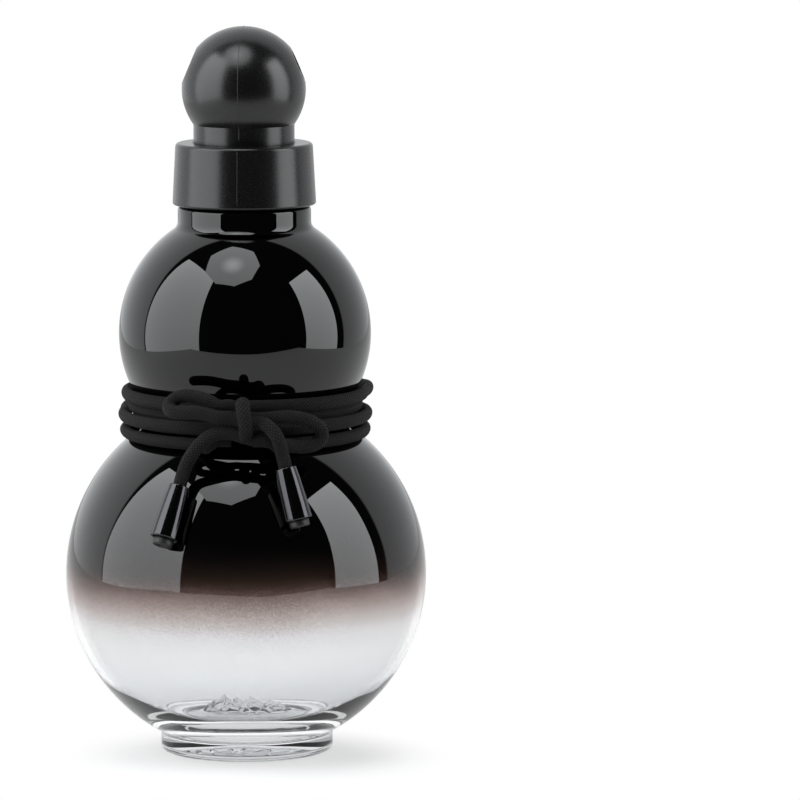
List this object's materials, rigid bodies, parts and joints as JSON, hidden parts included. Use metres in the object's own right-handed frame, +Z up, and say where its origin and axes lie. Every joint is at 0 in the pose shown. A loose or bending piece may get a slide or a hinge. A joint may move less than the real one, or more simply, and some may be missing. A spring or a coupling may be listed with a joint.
{
  "type": "gourd water bottle",
  "caption": "Double-globe glass gourd bottle with a ball-topped screw cap, a carry hole through the ball and a cord tied round the waist in a bow.",
  "frame": {"origin": "centre of the foot ring, on the surface the bottle stands on", "axes": "+Z up through the mouth, -Y towards the bow, +X along the cap's carry hole"},
  "size_m": [0.1228, 0.1243, 0.2471],
  "materials": {
    "glass": "glossy smoked black glass that fades to clear at the foot",
    "cap": "satin black moulded plastic",
    "liner": "natural white moulded plastic",
    "seal": "translucent white silicone",
    "cord": "braided polyester cord",
    "cord_end": "polished black nickel plate",
    "plug": "black moulded plastic"
  },
  "bodies": {
    "bottle": {"glass_bottle": "glass", "cord_winding": "cord", "cord_knot": "cord", "bow_loop_left": "cord", "bow_loop_right": "cord", "cord_tail_left": "cord", "cord_tail_right": "cord", "cord_end_left": "cord_end", "cord_end_right": "cord_end", "end_plug_left": "plug", "end_plug_right": "plug"},
    "seal_ring": {"seal": "seal"},
    "cap": {"cap_shell": "cap", "cap_liner": "liner"}
  },
  "joints": [
    {"name": "cap_rise", "type": "slide", "parent": "bottle", "child": "seal_ring", "axis": [0, 0, 1], "range_m": [0, 0.0201]},
    {"name": "cap_turn", "type": "hinge", "parent": "seal_ring", "child": "cap", "pos_m": [0, 0, 0.2], "axis": [0, 0, 1], "range_deg": [0, 900]}
  ],
  "couplings": [
    {"joint": "cap_rise", "follows": "cap_turn", "m_per_rad": 0.0012732}
  ]
}
